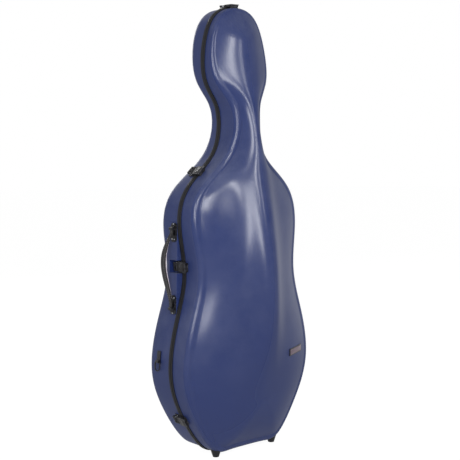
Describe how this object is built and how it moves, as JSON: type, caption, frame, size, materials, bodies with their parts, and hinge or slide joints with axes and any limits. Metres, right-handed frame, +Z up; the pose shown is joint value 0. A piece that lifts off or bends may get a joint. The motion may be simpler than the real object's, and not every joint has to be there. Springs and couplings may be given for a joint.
{
  "type": "cello hard case",
  "caption": "Standing cello hard case with ridged lid on side hinges, over-centre latches, rubber seam, side handle, strap rings, feet and fitted plush interior",
  "frame": {"origin": "on the floor, in the middle of the case's box", "axes": "+Z up along the case, lid towards -Y, back towards +Y, handle side -X, hinge side +X"},
  "size_m": [0.5234, 0.3236, 1.3638],
  "materials": {
    "shell_lacquer": "satin lacquered composite, navy blue",
    "seam_rubber": "moulded, matt",
    "hardware_plastic": "fine grained, dark grey",
    "bracket_steel": "satin nickel",
    "plush_lining": "short pile plush",
    "velvet_foam": "velvet over foam",
    "handle_leather": "smooth, black",
    "handle_pad": "soft, pale grey"
  },
  "bodies": {
    "back": {"back_shell": "shell_lacquer", "back_lining": "plush_lining", "seam_band": "seam_rubber", "back_foot_left": "seam_rubber", "back_foot_right": "seam_rubber", "latch_base_top": "hardware_plastic", "latch_base_shoulder": "hardware_plastic", "latch_base_waist": "hardware_plastic", "latch_base_bottom": "hardware_plastic", "hinge_back_leaf_lower": "hardware_plastic", "hinge_back_leaf_middle": "hardware_plastic", "hinge_back_leaf_upper": "hardware_plastic", "handle_land": "shell_lacquer", "handle_anchor_lower": "hardware_plastic", "handle_anchor_upper": "hardware_plastic", "ring_bracket_lower_left": "bracket_steel", "ring_bracket_lower_right": "bracket_steel", "ring_bracket_upper_left": "bracket_steel", "ring_bracket_upper_right": "bracket_steel", "lower_cradle": "velvet_foam", "waist_pad_left": "velvet_foam", "waist_pad_right": "velvet_foam", "shoulder_pad_left": "velvet_foam", "shoulder_pad_right": "velvet_foam", "neck_cradle": "velvet_foam", "neck_strap": "handle_leather", "scroll_pad": "velvet_foam"},
    "lid": {"lid_shell": "shell_lacquer", "lid_lining": "plush_lining", "seam_lip": "seam_rubber", "lid_foot_left": "seam_rubber", "lid_foot_right": "seam_rubber", "latch_keeper_top": "hardware_plastic", "latch_keeper_shoulder": "hardware_plastic", "latch_keeper_waist": "hardware_plastic", "latch_keeper_bottom": "hardware_plastic", "hinge_lid_leaf_lower": "hardware_plastic", "hinge_lid_leaf_middle": "hardware_plastic", "hinge_lid_leaf_upper": "hardware_plastic", "bow_rest_left": "velvet_foam", "bow_rest_right": "velvet_foam", "bow_clip_post_left": "velvet_foam", "bow_clip_post_right": "velvet_foam"},
    "handle": {"handle_strap": "handle_leather", "handle_pad": "handle_pad"},
    "lever_top": {"latch_lever_top": "hardware_plastic"},
    "claw_top": {"latch_claw_top": "hardware_plastic"},
    "lever_shoulder": {"latch_lever_shoulder": "hardware_plastic"},
    "claw_shoulder": {"latch_claw_shoulder": "hardware_plastic"},
    "lever_waist": {"latch_lever_waist": "hardware_plastic"},
    "claw_waist": {"latch_claw_waist": "hardware_plastic"},
    "lever_bottom": {"latch_lever_bottom": "hardware_plastic"},
    "claw_bottom": {"latch_claw_bottom": "hardware_plastic"},
    "ring_lower_left": {"strap_ring_lower_left": "hardware_plastic"},
    "ring_lower_right": {"strap_ring_lower_right": "hardware_plastic"},
    "ring_upper_left": {"strap_ring_upper_left": "hardware_plastic"},
    "ring_upper_right": {"strap_ring_upper_right": "hardware_plastic"},
    "bow_button_left": {"bow_clip_button_left": "hardware_plastic"},
    "bow_button_right": {"bow_clip_button_right": "hardware_plastic"}
  },
  "joints": [
    {"name": "lid_hinge", "type": "hinge", "parent": "back", "child": "lid", "pos_m": [0.25323, 0.02724, 0.29702], "axis": [-0.0956, 0, 0.9954], "range_deg": [0, 110]},
    {"name": "latch_lever_turn_top", "type": "hinge", "parent": "back", "child": "lever_top", "pos_m": [-0.00377, 0.04574, 1.3585], "axis": [1, 0, 0], "range_deg": [0, 100]},
    {"name": "latch_claw_turn_top", "type": "hinge", "parent": "lever_top", "child": "claw_top", "pos_m": [-0.00377, 0.05324, 1.361], "axis": [1, 0, 0], "range_deg": [-131, 0]},
    {"name": "latch_lever_turn_shoulder", "type": "hinge", "parent": "back", "child": "lever_shoulder", "pos_m": [-0.1381, 0.04574, 0.86978], "axis": [0.7498, 0, 0.6616], "range_deg": [0, 100]},
    {"name": "latch_claw_turn_shoulder", "type": "hinge", "parent": "lever_shoulder", "child": "claw_shoulder", "pos_m": [-0.13976, 0.05324, 0.87166], "axis": [0.7498, 0, 0.6616], "range_deg": [-131, 0]},
    {"name": "latch_lever_turn_waist", "type": "hinge", "parent": "back", "child": "lever_waist", "pos_m": [-0.20272, 0.04574, 0.58765], "axis": [-0.0648, 0, 0.9979], "range_deg": [0, 100]},
    {"name": "latch_claw_turn_waist", "type": "hinge", "parent": "lever_waist", "child": "claw_waist", "pos_m": [-0.20521, 0.05324, 0.58748], "axis": [-0.0648, 0, 0.9979], "range_deg": [-131, 0]},
    {"name": "latch_lever_turn_bottom", "type": "hinge", "parent": "back", "child": "lever_bottom", "pos_m": [-0.21176, 0.04574, 0.12095], "axis": [-0.4748, 0, 0.8801], "range_deg": [0, 100]},
    {"name": "latch_claw_turn_bottom", "type": "hinge", "parent": "lever_bottom", "child": "claw_bottom", "pos_m": [-0.21396, 0.05324, 0.11976], "axis": [-0.4748, 0, 0.8801], "range_deg": [-131, 0]},
    {"name": "handle_swing", "type": "hinge", "parent": "back", "child": "handle", "pos_m": [-0.23308, 0.04924, 0.47544], "axis": [0.0365, 0, 0.9993], "range_deg": [-65, 55]},
    {"name": "ring_swing_lower_left", "type": "hinge", "parent": "back", "child": "ring_lower_left", "pos_m": [-0.25667, 0.08934, 0.30057], "axis": [0, 1, 0], "range_deg": [0, 150]},
    {"name": "ring_swing_lower_right", "type": "hinge", "parent": "back", "child": "ring_lower_right", "pos_m": [0.24914, 0.08934, 0.30057], "axis": [0, -1, 0], "range_deg": [0, 150]},
    {"name": "ring_swing_upper_left", "type": "hinge", "parent": "back", "child": "ring_upper_left", "pos_m": [-0.04841, 0.12504, 0.85575], "axis": [0.99, 0.1413, 0], "range_deg": [0, 150]},
    {"name": "ring_swing_upper_right", "type": "hinge", "parent": "back", "child": "ring_upper_right", "pos_m": [0.04088, 0.12504, 0.85575], "axis": [0.99, -0.1413, 0], "range_deg": [0, 150]},
    {"name": "bow_button_turn_left", "type": "hinge", "parent": "lid", "child": "bow_button_left", "pos_m": [-0.03973, -0.05473, 0.88434], "axis": [0, 1, 0], "range_deg": [-90, 90]},
    {"name": "bow_button_turn_right", "type": "hinge", "parent": "lid", "child": "bow_button_right", "pos_m": [0.03219, -0.05473, 0.88434], "axis": [0, 1, 0], "range_deg": [-90, 90]}
  ],
  "couplings": [
    {"joint": "latch_claw_turn_top", "follows": "latch_lever_turn_top", "ratio": -1.3},
    {"joint": "latch_claw_turn_shoulder", "follows": "latch_lever_turn_shoulder", "ratio": -1.3},
    {"joint": "latch_claw_turn_waist", "follows": "latch_lever_turn_waist", "ratio": -1.3},
    {"joint": "latch_claw_turn_bottom", "follows": "latch_lever_turn_bottom", "ratio": -1.3}
  ]
}
